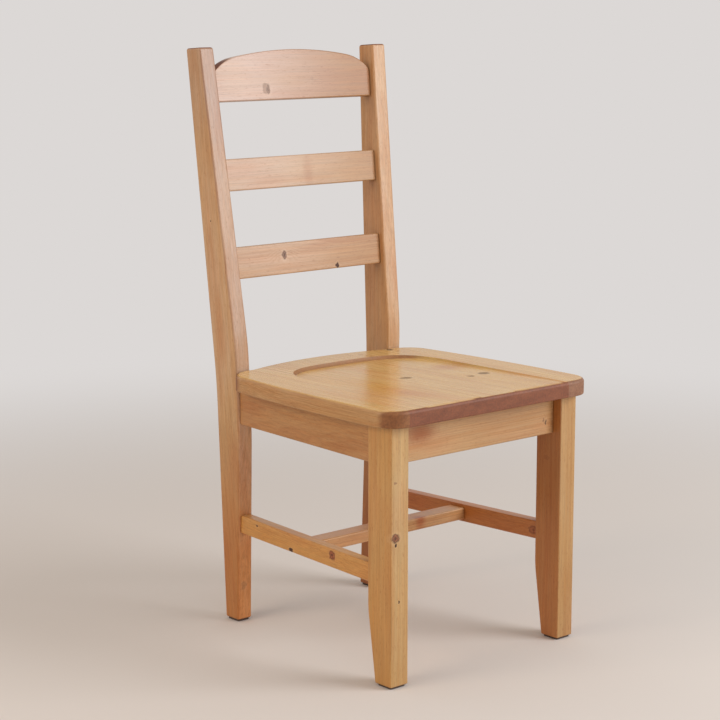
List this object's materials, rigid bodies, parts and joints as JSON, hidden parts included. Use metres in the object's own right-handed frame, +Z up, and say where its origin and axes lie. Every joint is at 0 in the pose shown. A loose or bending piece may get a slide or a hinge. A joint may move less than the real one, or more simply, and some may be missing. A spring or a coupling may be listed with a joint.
{
  "type": "dining chair",
  "caption": "Solid pine ladder-back dining chair with a scooped edge-glued seat, raked back posts, an arched crest rail over flat slats, and an H stretcher.",
  "frame": {"origin": "on the floor, under the middle of the chair's bounding box", "axes": "+X to the right seen from the front, +Y from the front edge of the seat to the back, +Z up"},
  "size_m": [0.4396, 0.5152, 0.951],
  "materials": {
    "pine_post": "honey-stained knotty pine under semi-gloss lacquer",
    "pine_leg": "honey-stained knotty pine under semi-gloss lacquer",
    "pine_board": "honey-stained knotty pine under semi-gloss lacquer",
    "pine_apron": "honey-stained knotty pine under semi-gloss lacquer",
    "pine_stretcher": "honey-stained knotty pine under semi-gloss lacquer",
    "pine_seat": "edge-glued honey pine under semi-gloss lacquer",
    "pine_block": "planed pine, thinly lacquered",
    "birch_dowel": "bare turned birch",
    "zinc_screw": "zinc-plated steel",
    "felt_pad": "dark pressed felt"
  },
  "bodies": {
    "root": {"back_post_left": "pine_post", "back_post_right": "pine_post", "front_leg_left": "pine_leg", "front_leg_right": "pine_leg", "crest_rail": "pine_board", "middle_slat": "pine_board", "lower_slat": "pine_board", "front_apron": "pine_apron", "back_apron": "pine_apron", "side_apron_left": "pine_apron", "side_apron_right": "pine_apron", "side_stretcher_left": "pine_stretcher", "side_stretcher_right": "pine_stretcher", "cross_stretcher": "pine_stretcher", "seat_board_1": "pine_seat", "seat_board_2": "pine_seat", "seat_board_3": "pine_seat", "seat_board_4": "pine_seat", "corner_block_front_left": "pine_block", "corner_block_front_right": "pine_block", "corner_block_rear_left": "pine_block", "corner_block_rear_right": "pine_block", "slat_dowels": "birch_dowel", "apron_dowels": "birch_dowel", "stretcher_dowels": "birch_dowel", "block_screws": "zinc_screw", "seat_screws": "zinc_screw", "foot_pad_front_left": "felt_pad", "foot_pad_front_right": "felt_pad", "foot_pad_rear_left": "felt_pad", "foot_pad_rear_right": "felt_pad"}
  },
  "joints": []
}
